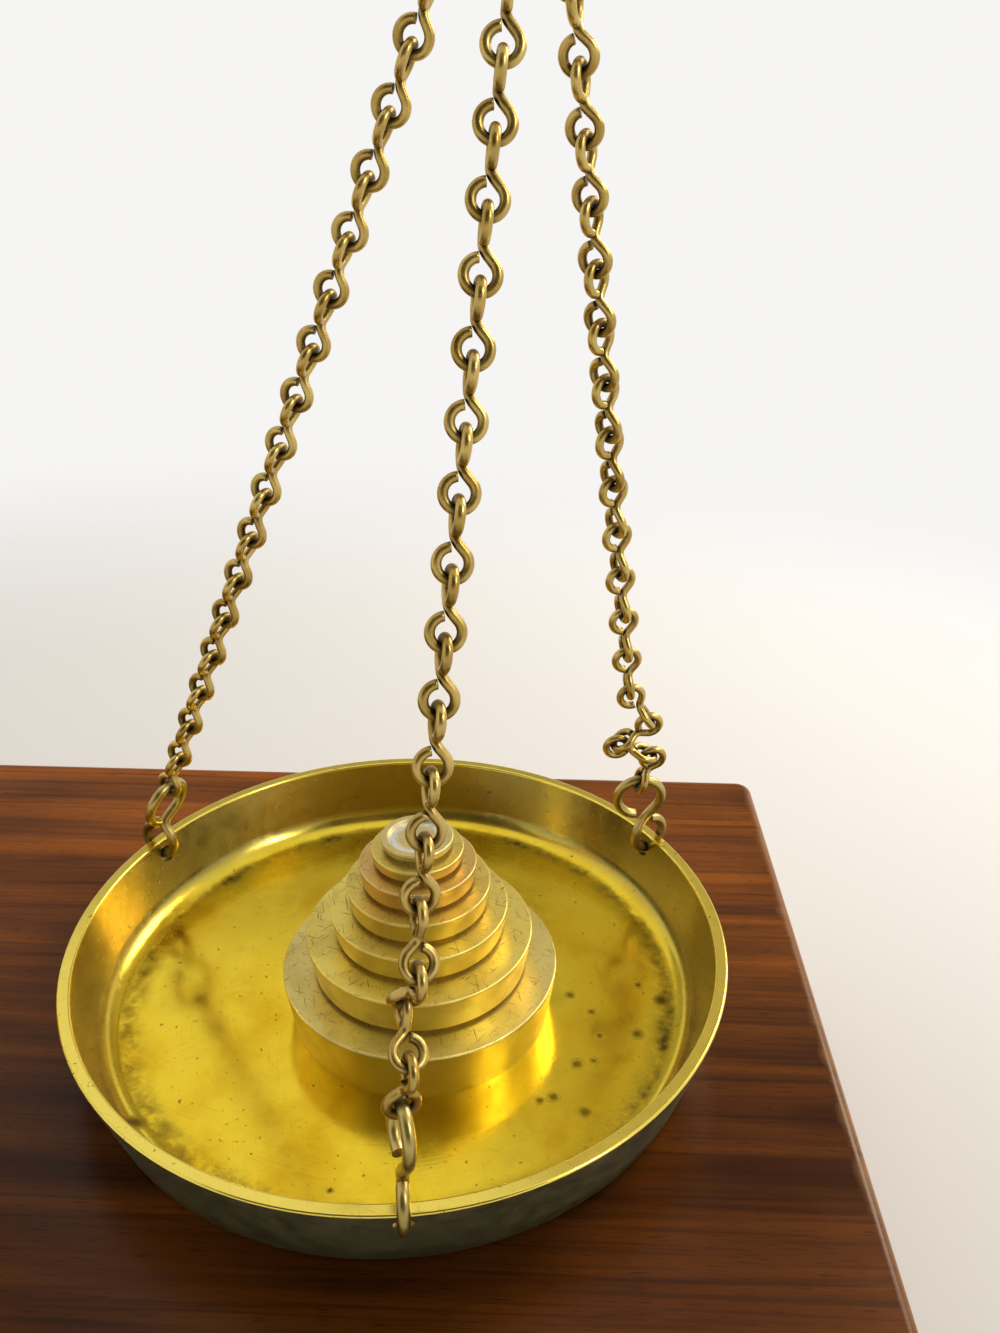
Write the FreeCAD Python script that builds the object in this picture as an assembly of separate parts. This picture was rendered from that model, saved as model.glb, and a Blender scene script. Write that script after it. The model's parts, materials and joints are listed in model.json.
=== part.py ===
import FreeCAD, Part
import math
import os

# Brass column balance on a mahogany drawer box, one pan resting loaded on the box.
# Millimetres and degrees. +X runs from the pillar to the loaded pan, +Y to the back.
# The origin is under the pillar, at the level that the feet stand on.

Vector = FreeCAD.Vector
origin = Vector(0, 0, 0)
right = Vector(1, 0, 0)
back = Vector(0, 1, 0)
up = Vector(0, 0, 1)

# Box of the base
board_length = 542.0
board_depth = 232.0
board_thickness = 14.0
board_edge_round = 3.0
board_corner_round = 5.5
plinth_thickness = 12.0
plinth_edge_round = 4.0
carcass_height = 50.0
carcass_setback = 13.0
end_thickness = 12.0
back_thickness = 10.0
foot_height = 14.0
foot_radius = 17.0
foot_tread_radius = 12.0
foot_tenon_radius = 6.0
foot_tenon_depth = 8.0
foot_inset = 24.0
wood_fit = 0.15
box_screw_head_radius = 4.0
box_screw_radius = 2.0
box_screw_length = 34.0
box_screw_count = 3

# Drawer of the base
drawer_gap = 0.6
drawer_front_thickness = 12.0
drawer_side_thickness = 8.0
drawer_bottom_thickness = 4.0
drawer_bottom_lift = 3.0
drawer_stop_gap = 2.0
drawer_headroom = 4.0
runner_width = 12.0
runner_height = 4.0
knob_spacing = 250.0
knob_radius = 7.0
knob_length = 11.0
knob_neck_radius = 3.4
knob_rose_radius = 6.0
knob_rose_height = 1.6
knob_rose_round = 0.8
knob_edge_round = 1.7
knob_throat_round = 0.8
knob_shank_radius = 2.0
knob_shank_length = 9.0

# Pillar
flange_radius = 31.0
flange_height = 16.0
flange_edge_height = 5.0
flange_round = 1.6
flange_screw_circle = 47.0
flange_screw_count = 3
flange_screw_radius = 2.0
flange_screw_head_radius = 3.8
flange_screw_head_height = 2.2
flange_screw_length = 14.0
stud_radius = 5.0
stud_end = 2.0
nut_width = 16.0
nut_height = 6.0
washer_radius = 11.0
washer_thickness = 1.5
column_radius = 9.0
spigot_radius = 4.0
spigot_length = 12.0
brass_fit = 0.1
# Slot of a screw's head, as shares of the shank's radius and of the head's ledge
slot_width_share = 0.5
slot_depth_share = 0.33
# Radius as a share of the column's, height as a share of its length, rounding as a share of its radius
column_shares = (
    (1.75, 0.0, 0.0),
    (1.75, 0.016, 0.14),
    (1.3, 0.02, 0.0),
    (1.3, 0.03, 0.0),
    (1.5, 0.04, 0.17),
    (1.12, 0.05, 0.0),
    (1.0, 0.12, 0.0),
    (0.82, 0.9, 0.0),
    (1.12, 0.908, 0.1),
    (1.12, 0.925, 0.1),
    (0.86, 0.935, 0.0),
    (0.86, 0.952, 0.0),
    (1.2, 0.964, 0.0),
    (1.2, 1.0, 0.1),
)

# Fork on the pillar
fork_side_gap = 3.0
fork_throat_gap = 5.0
cheek_thickness = 5.0
cheek_width = 20.0
cheek_rise = 9.0
cheek_top_round = 4.0
saddle_height = 8.0
bearing_width = 10.0
bearing_depth = 7.0
bearing_rise = 1.8
edge_gap = 0.08
groove_half_angle = 60.0

# Beam
beam_arm = 185.0
rest_tilt = 6.0
beam_thickness = 6.0
beam_mid_depth = 26.0
beam_quarter_depth = 14.0
beam_end_depth = 10.0
mid_boss_radius = 17.0
end_boss_radius = 9.0
mid_knife_half_width = 3.5
mid_knife_height = 6.5
mid_knife_overhang = 1.0
end_knife_half_width = 2.5
end_knife_height = 6.0
end_knife_overhang = 1.0
finial_seat_rise = 2.0
finial_seat_width = 12.0
finial_radius = 6.0
finial_height = 24.0
finial_stud_radius = 2.0
finial_stud_length = 8.0
# Radius and height of the finial as shares of its own
finial_shares = (
    (1.0, 0.0, 0.0),
    (1.0, 0.09, 0.05),
    (0.45, 0.16, 0.0),
    (0.45, 0.24, 0.0),
    (0.95, 0.42, 0.5),
    (0.4, 0.72, 0.0),
    (0.32, 0.8, 0.0),
    (0.42, 0.95, 0.25),
)

# Pointer and its index plate
pointer_length = 150.0
pointer_thickness = 1.6
pointer_root_width = 5.0
pointer_tip_width = 1.2
pointer_hub_radius = 8.0
pointer_standoff = 2.5
plate_width = 50.0
plate_height = 22.0
plate_thickness = 1.5
plate_corner_round = 3.0
plate_tip_overlap = 6.0
drum_radius = 12.0
drum_height = 22.0
drum_flat_setback = 9.8
plate_screw_spacing = 11.0
plate_screw_radius = 1.0
plate_screw_head_radius = 1.9
plate_screw_head_height = 0.8
plate_screw_length = 5.0

# Stirrup and hook under each end of the beam
stirrup_side_gap = 1.5
stirrup_plate = 2.6
stirrup_half_width = 9.0
stirrup_crown = 6.0
stirrup_crown_round = 5.0
stirrup_foot_half_width = 6.0
stirrup_window_half_width = 5.0
stirrup_window_depth = 9.0
stirrup_boss_gap = 2.5
bridge_thickness = 4.0
rivet_radius = 3.2
rivet_height = 1.8
hook_wire = 2.8
hook_collar_radius = 3.0
hook_collar_height = 1.6
hook_shank = 4.0
hook_neck_round = 4.0
hook_bend_radius = 8.5
hook_tip_angle = 160.0
# Turn of each chain along the bend from its lowest point, in the order of the hooks round the rim
hook_spreads = (24.0, -24.0, 0.0)

# Jack chain
chain_wire = 2.1
chain_loop_radius = 3.155
chain_play = 0.12
chain_end_play = 0.4
chain_count = 20
slack_count = 4
# Steepest fold that the slack links are tried with
fold_limit = 80.0
# Distance from a wire eight's waist to a loop's centre, as a share of the loop's radius
chain_waist_share = 1.42
chain_end_angle = 12.0
# Length of the bend at the waist, as a share of the straight run that it eats
waist_bend_share = 0.5

# Wire hooks in the pan's rim
rim_hook_wire = 2.9
rim_hook_upper_radius = 6.7
rim_hook_lower_radius = 5.2
rim_hook_waist_share = 1.3
rim_hook_end_angle = 22.0
# Lean of a hook towards the pan's middle, and of its lower loop against the wall
rim_hook_lean = 18.0
rim_hook_set = 16.0
# Places of the holes round the rim, and the turn of each hook's upper loop against its lower one
rim_hole_angles = (33.0, 154.5, 277.0)
right_hook_twists = (25.0, 90.0, -14.0)
left_hook_twists = (90.0, 90.0, 90.0)

# Pans
pan_rim_radius = 89.0
pan_foot_radius = 82.4
pan_height = 23.1
pan_wall = 3.3
pan_floor = 3.0
pan_rim_chamfer = 0.6
pan_foot_round = 2.0
pan_cove = 7.0
pan_hole_drop = 4.5
pan_hole_radius = 2.4
pan_drag = 30.7
pan_seat_gap = 0.1

# Nest of weights, the largest first
weight_radii = (37.0, 30.2, 23.6, 19.0, 15.4, 12.1, 9.5)
weight_heights = (14.8, 9.7, 6.9, 5.9, 5.2, 3.1, 2.0)
weight_foot_share = 0.945
weight_edge_round = 0.5
weight_shadow_gap = 1.2
weight_recess = 0.9
weight_recess_inset = 1.6
weight_recess_play = 0.3
weight_off_right = 6.2
weight_off_front = 5.4

# Every cut runs this far past the material
overrun = 1.0
# Halvings and repeats that settle the chains
solver_steps = 40

# Levels and planes that follow
plinth_top = foot_height + plinth_thickness
carcass_top = plinth_top + carcass_height
board_top = carcass_top + board_thickness
carcass_half_length = board_length / 2 - carcass_setback
carcass_half_depth = board_depth / 2 - carcass_setback
box_inner_half_length = carcass_half_length - end_thickness
flange_top = board_top + flange_height
link_length = 2 * chain_loop_radius * (1 + chain_waist_share)
link_overlap = chain_wire + chain_play
top_overlap = (hook_wire + chain_wire) / 2 + chain_end_play
foot_overlap = (rim_hook_wire + chain_wire) / 2 + chain_end_play
pan_slope = (pan_rim_radius - pan_foot_radius) / pan_height
rim_hook_stand = math.degrees(math.atan(pan_slope)) - rim_hook_set
beam_half = beam_thickness / 2
cheek_inner = beam_half + fork_side_gap
cheek_outer = cheek_inner + cheek_thickness
mid_knife_front = cheek_outer + pointer_standoff + pointer_thickness + mid_knife_overhang
stirrup_inner = beam_half + stirrup_side_gap
stirrup_outer = stirrup_inner + stirrup_plate
bridge_top = end_boss_radius + stirrup_boss_gap + rivet_height
bridge_foot = bridge_top + bridge_thickness
hook_neck_drop = bridge_foot + hook_collar_height + hook_shank
hook_neck_fall = math.sqrt(hook_bend_radius ** 2 + 2 * hook_bend_radius * hook_neck_round)
hook_centre_drop = hook_neck_drop + hook_neck_fall


def polar(angle, radius):
    return Vector(radius * math.cos(math.radians(angle)), radius * math.sin(math.radians(angle)), 0)


def unit(vector):
    return vector * (1 / vector.Length)


def outline(corners):
    """Closed wire in the XZ plane through (x, z, rounding) corners."""
    turns = []
    for index, (across, height, rounding) in enumerate(corners):
        here = Vector(across, 0, height)
        before = Vector(corners[index - 1][0], 0, corners[index - 1][1])
        following = corners[(index + 1) % len(corners)]
        after = Vector(following[0], 0, following[1])
        if rounding == 0:
            turns.append((here, None, here))
            continue
        to_before = unit(before - here)
        to_after = unit(after - here)
        half = to_before.getAngle(to_after) / 2
        tangent = rounding / math.tan(half)
        middle = here + unit(to_before + to_after) * (rounding / math.sin(half) - rounding)
        turns.append((here + to_before * tangent, middle, here + to_after * tangent))
    edges = []
    for index, (start, middle, finish) in enumerate(turns):
        if middle is not None:
            edges.append(Part.Arc(start, middle, finish).toShape())
        following = turns[(index + 1) % len(turns)][0]
        if not finish.isEqual(following, Part.Precision.confusion()):
            edges.append(Part.makeLine(finish, following))
    return Part.Wire(edges)


def turned(corners, foot=origin, axis=up):
    solid = Part.Face(outline(corners)).revolve(origin, up, 360)
    solid.Placement = FreeCAD.Placement(foot, FreeCAD.Rotation(up, axis))
    return solid


def slab(corners, front, rear):
    face = Part.Face(outline(corners))
    face.translate(back * front)
    return face.extrude(back * (rear - front))


def block(low, high):
    size = high - low
    return Part.makeBox(size.x, size.y, size.z, low)


def rod(radius, length, foot, axis=up):
    return Part.makeCylinder(radius, length, foot, axis)


def bored(solid, radius, mouth, axis, depth):
    """Drill a hole into a solid from mouth along axis."""
    return solid.cut(rod(radius, depth + overrun, mouth - axis * overrun, axis))


def soft_board(half_length, half_depth, low, high, corner_round, edge_round):
    board = block(Vector(-half_length, -half_depth, low), Vector(half_length, half_depth, high))
    posts = [edge for edge in board.Edges if edge.Vertexes[0].Z != edge.Vertexes[1].Z]
    board = board.makeFillet(corner_round, posts)
    rims = [edge for edge in board.Edges if edge.BoundBox.ZLength < high - low]
    return board.makeFillet(edge_round, rims)


def slotted_screw(head_radius, head_height, shank_radius, length, foot, axis, countersunk=False):
    """Screw whose head rests on foot, with the shank running against axis."""
    if countersunk:
        depth = head_radius - shank_radius
        corners = (
            (0, -length, 0),
            (shank_radius, -length + shank_radius, 0),
            (shank_radius, -depth, 0),
            (head_radius, 0, 0),
            (0, 0, 0),
        )
        head_height = 0
    else:
        corners = (
            (0, -length, 0),
            (shank_radius, -length + shank_radius, 0),
            (shank_radius, 0, 0),
            (head_radius, 0, 0),
            (head_radius, head_height, head_height / 2),
            (0, head_height, 0),
        )
    screw = turned(corners)
    slot_width = shank_radius * slot_width_share
    slot_depth = (head_radius - shank_radius) * slot_depth_share
    low = Vector(-head_radius - overrun, -slot_width / 2, head_height - slot_depth)
    high = Vector(head_radius + overrun, slot_width / 2, head_height + overrun)
    screw = screw.cut(block(low, high))
    screw.Placement = FreeCAD.Placement(foot, FreeCAD.Rotation(up, axis))
    return screw


def wire_eight(wire, upper_radius, lower_radius, waist_share, end_angle, twist):
    """Wire bent to two loops. The upper loop lies in XZ, the lower one turned by twist about Z."""
    lean = math.asin(1 / waist_share)
    side = polar(twist, 1)

    def loop_point(angle, radius, across, sense):
        turn = math.radians(angle)
        rise = radius * (waist_share - math.cos(turn))
        return across * (sense * radius * math.sin(turn)) + up * (sense * rise)

    def loop_arc(first, last, radius, across, sense):
        middle = (first + last) / 2
        points = [loop_point(angle, radius, across, sense) for angle in (first, middle, last)]
        return Part.Arc(*points).toShape()

    last_angle = 270 + math.degrees(lean)
    half_angle = (end_angle + last_angle) / 2
    run_share = math.sqrt(waist_share ** 2 - 1)
    into = right * -math.sin(lean) + up * math.cos(lean)
    out = side * math.sin(lean) - up * math.cos(lean)
    edges = [
        loop_arc(end_angle, half_angle, upper_radius, right, 1),
        loop_arc(half_angle, last_angle, upper_radius, right, 1),
    ]
    if twist == 0:
        edges.append(Part.makeLine(into * (run_share * upper_radius), out * (run_share * lower_radius)))
    else:
        bend = waist_bend_share * run_share * min(upper_radius, lower_radius)
        half = into.getAngle(out) / 2
        crest = unit(into + out) * (bend / math.cos(half) - bend * math.tan(half))
        edges.append(Part.makeLine(into * (run_share * upper_radius), into * bend))
        edges.append(Part.Arc(into * bend, crest, out * bend).toShape())
        edges.append(Part.makeLine(out * bend, out * (run_share * lower_radius)))
    edges.append(loop_arc(last_angle, half_angle, lower_radius, side, -1))
    edges.append(loop_arc(half_angle, end_angle, lower_radius, side, -1))
    return swept(edges, wire / 2)


def swept(edges, radius):
    path = Part.Wire(edges)
    first = path.OrderedEdges[0]
    start = first.valueAt(first.FirstParameter)
    section = Part.Wire([Part.makeCircle(radius, start, first.tangentAt(first.FirstParameter))])
    return path.makePipeShell([section], True, False)


def placed(solid, centre, across, axis):
    """Copy of a solid with its X turned to across and its Z to axis."""
    deep = axis.cross(across)
    matrix = FreeCAD.Matrix(
        across.x, deep.x, axis.x, centre.x,
        across.y, deep.y, axis.y, centre.y,
        across.z, deep.z, axis.z, centre.z,
        0, 0, 0, 1,
    )
    copy = solid.copy()
    copy.Placement = FreeCAD.Placement(matrix)
    return copy


def write(node, *solids):
    shape = solids[0] if len(solids) == 1 else Part.makeCompound(solids)
    shape.exportStep("parts/" + node + ".step")
    print(node, len(shape.Solids), round(shape.Volume), shape.isValid())


def hole_angles(mirrored):
    return [180 - angle for angle in rim_hole_angles] if mirrored else rim_hole_angles


def leaning(angle, lean, length):
    """Vector that leans out from the upright, in the upright plane at an angle round the pan."""
    turn = math.radians(lean)
    return polar(angle, length * math.sin(turn)) + up * (length * math.cos(turn))


def square_to(vector, axis):
    return unit(vector - axis * vector.dot(axis))


def rim_hole(centre, angle):
    """Middle of the wall at a pan's hole, for a pan standing on centre."""
    height = pan_height - pan_hole_drop
    return centre + polar(angle, pan_foot_radius + pan_slope * height - pan_wall / 2) + up * height


def rim_hook_waist(centre, angle):
    loop = rim_hole(centre, angle) + leaning(angle, rim_hook_stand, rim_hook_lower_radius)
    return loop + leaning(angle, -rim_hook_lean, rim_hook_lower_radius * rim_hook_waist_share)


def rim_hook_side(angle, twist):
    """Direction across a rim hook's upper loop."""
    return square_to(polar(angle - twist, -1), leaning(angle, -rim_hook_lean, 1))


def chain_foot(centre, angle, twist, lowest):
    """Lower end of a chain's lowest link, which points along lowest, in its rim hook."""
    rise = leaning(angle, -rim_hook_lean, rim_hook_upper_radius * (1 + rim_hook_waist_share))
    side = rim_hook_side(angle, twist)
    bend = square_to(rise.cross(side), lowest)
    return rim_hook_waist(centre, angle) + rise - unit(side.cross(bend)) * foot_overlap


def straight_run(count):
    """Length of a straight run of links from the hook's bend to the lower end of the last one."""
    return count * link_length - (count - 1) * link_overlap - top_overlap


def saddles(mirrored):
    """Places where the chains hang on the hook's bend, seen from its centre."""
    sense = -1 if mirrored else 1
    turns = [math.radians(sense * spread) for spread in hook_spreads]
    return [Vector(math.sin(turn), 0, -math.cos(turn)) * hook_bend_radius for turn in turns]


def hook_height(centre, offset, mirrored, twists):
    """Height of the hook's bend above a pan, with its tightest chain taut."""
    heights = []
    for angle, saddle, twist in zip(hole_angles(mirrored), saddles(mirrored), twists):
        axis = up
        for attempt in range(solver_steps):
            gap = centre + right * offset + saddle - chain_foot(centre, angle, twist, axis)
            height = math.sqrt(straight_run(chain_count) ** 2 - math.hypot(gap.x, gap.y) ** 2) - gap.z
            axis = unit(gap + up * height)
        heights.append(height)
    return min(heights)


# Where the beam and the pans stand at rest
right_hook_x = beam_arm * math.cos(math.radians(rest_tilt))
right_pan_foot = Vector(right_hook_x - pan_drag, 0, board_top + pan_seat_gap)
right_rise = hook_height(right_pan_foot, pan_drag, False, right_hook_twists)
right_hook_centre = right_pan_foot + Vector(pan_drag, 0, right_rise)
right_knife = right_hook_centre + up * hook_centre_drop
fulcrum = Vector(0, 0, right_knife.z + beam_arm * math.sin(math.radians(rest_tilt)))
left_knife = fulcrum * 2 - right_knife
left_hook_centre = left_knife - up * hook_centre_drop
left_pan_foot = left_hook_centre - up * hook_height(origin, 0, True, left_hook_twists)
fork_seat = fulcrum.z - mid_boss_radius - fork_throat_gap - saddle_height
column_length = fork_seat - flange_top


def base_box():
    board = soft_board(
        board_length / 2, board_depth / 2, carcass_top, board_top, board_corner_round, board_edge_round
    )
    through = board_thickness + overrun
    board = bored(board, stud_radius + wood_fit, up * board_top, -up, through)
    for spot in flange_screw_spots():
        board = bored(board, flange_screw_radius + wood_fit, spot, -up, through)
    write("top_board", board)
    plinth = soft_board(
        board_length / 2, board_depth / 2, foot_height, plinth_top, board_corner_round, plinth_edge_round
    )
    feet = []
    for spot in foot_spots():
        mouth = spot + up * foot_height
        plinth = bored(plinth, foot_tenon_radius + wood_fit, mouth, up, foot_tenon_depth + wood_fit)
        feet.append(bun_foot(spot))
    screws = []
    ends = {}
    for name, sense in (("left_end", -1), ("right_end", 1)):
        low = min(sense * carcass_half_length, sense * box_inner_half_length)
        ends[name] = block(
            Vector(low, -carcass_half_depth, plinth_top),
            Vector(low + end_thickness, carcass_half_depth, carcass_top),
        )
        for index in range(box_screw_count):
            spread = (index + 1) / (box_screw_count + 1) - 1 / 2
            spot = Vector(low + end_thickness / 2, 2 * spread * carcass_half_depth, foot_height)
            hole = countersunk_hole(spot)
            plinth = plinth.cut(hole)
            ends[name] = ends[name].cut(hole)
            screws.append(
                slotted_screw(box_screw_head_radius, 0, box_screw_radius, box_screw_length, spot, -up, True)
            )
    write("plinth_board", plinth)
    write("bun_feet", *feet)
    write("box_screws", *screws)
    for name, board in ends.items():
        write(name, board)
    write(
        "back_panel",
        block(
            Vector(-box_inner_half_length, carcass_half_depth - back_thickness, plinth_top),
            Vector(box_inner_half_length, carcass_half_depth, carcass_top),
        ),
    )


def foot_spots():
    reach_x = carcass_half_length - foot_inset
    reach_y = carcass_half_depth - foot_inset
    return [Vector(x, y, 0) for x in (-reach_x, reach_x) for y in (-reach_y, reach_y)]


def bun_foot(spot):
    return turned(
        (
            (0, 0, 0),
            (foot_tread_radius, 0, 0),
            (foot_radius, foot_height / 2, foot_height / 2),
            (foot_tread_radius, foot_height, 0),
            (foot_tenon_radius, foot_height, 0),
            (foot_tenon_radius, foot_height + foot_tenon_depth, 0),
            (0, foot_height + foot_tenon_depth, 0),
        ),
        spot,
    )


def countersunk_hole(spot):
    radius = box_screw_radius + wood_fit
    head = box_screw_head_radius + wood_fit
    return turned(
        (
            (0, -overrun, 0),
            (head, -overrun, 0),
            (head, 0, 0),
            (radius, head - radius, 0),
            (radius, box_screw_length + wood_fit, 0),
            (0, box_screw_length + wood_fit, 0),
        ),
        spot,
    )


def drawer():
    outer = box_inner_half_length - drawer_gap
    inner = outer - drawer_side_thickness
    front = -carcass_half_depth
    face_back = front + drawer_front_thickness
    rear = carcass_half_depth - back_thickness - drawer_stop_gap
    low = plinth_top + runner_height
    under_board = washer_thickness + nut_height + stud_end
    high = carcass_top - under_board - drawer_headroom
    runners = []
    for sense in (-1, 1):
        near = min(sense * box_inner_half_length, sense * (box_inner_half_length - runner_width))
        runners.append(
            block(
                Vector(near, face_back + drawer_gap, plinth_top),
                Vector(near + runner_width, carcass_half_depth - back_thickness, low),
            )
        )
    write("drawer_runners", *runners)
    face = block(
        Vector(-outer, front, plinth_top + drawer_gap),
        Vector(outer, face_back, carcass_top - drawer_gap),
    )
    knobs = []
    for x in (-knob_spacing / 2, knob_spacing / 2):
        spot = Vector(x, front, (plinth_top + carcass_top) / 2)
        face = bored(face, knob_shank_radius + wood_fit, spot, back, knob_shank_length + wood_fit)
        knobs.append(drawer_knob(spot))
    write("drawer_front", face)
    write("drawer_knobs", *knobs)
    for name, sense in (("drawer_left_side", -1), ("drawer_right_side", 1)):
        near = min(sense * outer, sense * inner)
        write(name, block(Vector(near, face_back, low), Vector(near + drawer_side_thickness, rear, high)))
    write("drawer_back", block(Vector(-inner, rear - drawer_side_thickness, low), Vector(inner, rear, high)))
    floor = low + drawer_bottom_lift
    write(
        "drawer_bottom",
        block(
            Vector(-inner, face_back, floor),
            Vector(inner, rear - drawer_side_thickness, floor + drawer_bottom_thickness),
        ),
    )


def drawer_knob(spot):
    return turned(
        (
            (0, -knob_shank_length, 0),
            (knob_shank_radius, -knob_shank_length, 0),
            (knob_shank_radius, 0, 0),
            (knob_rose_radius, 0, 0),
            (knob_rose_radius, knob_rose_height, knob_rose_round),
            (knob_neck_radius, knob_rose_height, 0),
            (knob_neck_radius, (knob_rose_height + knob_length) / 2 - knob_neck_radius / 2, 0),
            (knob_radius, (knob_rose_height + knob_length) / 2, knob_throat_round),
            (knob_radius, knob_length, knob_edge_round),
            (0, knob_length, 0),
        ),
        spot,
        -back,
    )


def flange_screw_spots():
    angles = [360 / flange_screw_count * index - 90 for index in range(flange_screw_count)]
    return [polar(angle, flange_screw_circle / 2) + up * board_top for angle in angles]


def pillar():
    neck = column_radius * column_shares[0][0]
    flange = turned(
        (
            (stud_radius + brass_fit, board_top, 0),
            (flange_radius, board_top, 0),
            (flange_radius, board_top + flange_edge_height, flange_round),
            ((flange_radius + neck) / 2, board_top + flange_edge_height, flange_round),
            (neck, flange_top, 0),
            (stud_radius + brass_fit, flange_top, 0),
        )
    )
    screws = []
    seat = board_top + flange_edge_height
    for spot in flange_screw_spots():
        foot = Vector(spot.x, spot.y, seat)
        flange = flange.cut(rod(flange_screw_head_radius + brass_fit, flange_height, foot))
        flange = bored(flange, flange_screw_radius + brass_fit, foot, -up, flange_edge_height + overrun)
        screws.append(
            slotted_screw(
                flange_screw_head_radius,
                flange_screw_head_height,
                flange_screw_radius,
                flange_screw_length,
                foot,
                up,
            )
        )
    write("pillar_flange", flange)
    write("flange_screws", *screws)
    write("pillar_column", column())
    washer = rod(washer_radius, washer_thickness, up * (carcass_top - washer_thickness))
    bore = rod(stud_radius + brass_fit, board_thickness + flange_height, up * (carcass_top - board_thickness))
    write("pillar_washer", washer.cut(bore))
    nut_radius = nut_width / math.sqrt(3)
    nut_low = carcass_top - washer_thickness - nut_height
    corners = [polar(60 * index, nut_radius) + up * nut_low for index in range(6)]
    nut = Part.Face(Part.makePolygon(corners + corners[:1])).extrude(up * nut_height)
    write("pillar_nut", nut.cut(bore))


def column():
    foot = carcass_top - washer_thickness - nut_height - stud_end
    corners = [(0, foot, 0), (stud_radius, foot, 0), (stud_radius, flange_top, 0)]
    for radius, height, rounding in column_shares:
        level = flange_top + height * column_length
        corners.append((radius * column_radius, level, rounding * column_radius))
    socket = fork_seat - spigot_length - brass_fit
    corners.append((spigot_radius + brass_fit, fork_seat, 0))
    corners.append((spigot_radius + brass_fit, socket, 0))
    corners.append((0, socket, 0))
    drum = rod(drum_radius, drum_height, up * (plate_middle() - drum_height / 2))
    low = Vector(-drum_radius, -drum_radius - overrun, plate_middle() - drum_height)
    high = Vector(drum_radius, -drum_flat_setback, plate_middle() + drum_height)
    solid = turned(corners).fuse(drum.cut(block(low, high))).removeSplitter()
    for spot in plate_screw_spots():
        solid = bored(solid, plate_screw_radius + brass_fit, spot, back, plate_screw_length + brass_fit)
    return solid


def plate_middle():
    return fulcrum.z - pointer_length - plate_height / 2 + plate_tip_overlap


def plate_screw_spots():
    front = -drum_flat_setback - plate_thickness
    shifts = (-plate_screw_spacing / 2, plate_screw_spacing / 2)
    return [Vector(0, front, plate_middle() + shift) for shift in shifts]


def index_plate():
    middle = plate_middle()
    half_width = plate_width / 2
    half_height = plate_height / 2
    plate = slab(
        (
            (-half_width, middle - half_height, plate_corner_round),
            (half_width, middle - half_height, plate_corner_round),
            (half_width, middle + half_height, plate_corner_round),
            (-half_width, middle + half_height, plate_corner_round),
        ),
        -drum_flat_setback - plate_thickness,
        -drum_flat_setback,
    )
    screws = []
    for spot in plate_screw_spots():
        plate = bored(plate, plate_screw_radius + brass_fit, spot, back, plate_thickness + overrun)
        screws.append(
            slotted_screw(
                plate_screw_head_radius,
                plate_screw_head_height,
                plate_screw_radius,
                plate_screw_length,
                spot,
                -back,
            )
        )
    write("index_plate", plate)
    write("index_screws", *screws)


def fork():
    throat = fulcrum.z - mid_boss_radius - fork_throat_gap
    half = cheek_width / 2
    corners = (
        (-half, fork_seat, 0),
        (half, fork_seat, 0),
        (half, fulcrum.z + cheek_rise, cheek_top_round),
        (-half, fulcrum.z + cheek_rise, cheek_top_round),
    )
    head = slab(corners, -cheek_outer, cheek_outer)
    gap = block(
        Vector(-half - overrun, -cheek_inner, throat),
        Vector(half + overrun, cheek_inner, fulcrum.z + cheek_rise + overrun),
    )
    seat = fulcrum.z - bearing_depth
    notch = block(
        Vector(-bearing_width / 2, -cheek_outer - overrun, seat),
        Vector(bearing_width / 2, cheek_outer + overrun, fulcrum.z + cheek_rise + overrun),
    )
    head = head.cut(gap).cut(notch)
    head = head.fuse(rod(spigot_radius, spigot_length, up * (fork_seat - spigot_length)))
    write("fork_head", head)
    top = bearing_rise + edge_gap
    spread = top * math.tan(math.radians(groove_half_angle))
    corners = (
        (-bearing_width / 2, seat, 0),
        (bearing_width / 2, seat, 0),
        (bearing_width / 2, fulcrum.z + bearing_rise, 0),
        (spread, fulcrum.z + bearing_rise, 0),
        (0, fulcrum.z - edge_gap, 0),
        (-spread, fulcrum.z + bearing_rise, 0),
        (-bearing_width / 2, fulcrum.z + bearing_rise, 0),
    )
    write("beam_bearings", slab(corners, -cheek_outer, -cheek_inner), slab(corners, cheek_inner, cheek_outer))


def tilted(solid):
    """Turn a piece that is drawn on a level beam to the beam's rest."""
    solid = solid.copy()
    solid.rotate(fulcrum, back, rest_tilt)
    return solid


def knife(middle, half_width, height, front, rear):
    """Three-cornered knife with its edge on middle and its flat side height above it."""
    corners = (
        (middle.x, middle.z, 0),
        (middle.x + half_width, middle.z + height, 0),
        (middle.x - half_width, middle.z + height, 0),
    )
    return slab(corners, front, rear)


def knife_slot(middle, half_width, height, front, rear):
    """The same knife grown by the fit on all sides."""
    sense = math.copysign(1, height)
    grow = brass_fit * math.hypot(half_width, height) / half_width
    wide = half_width * (abs(height) + grow + brass_fit) / abs(height)
    edge = middle - up * (sense * grow)
    return knife(edge, wide, height + sense * (grow + brass_fit), front, rear)


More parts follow.
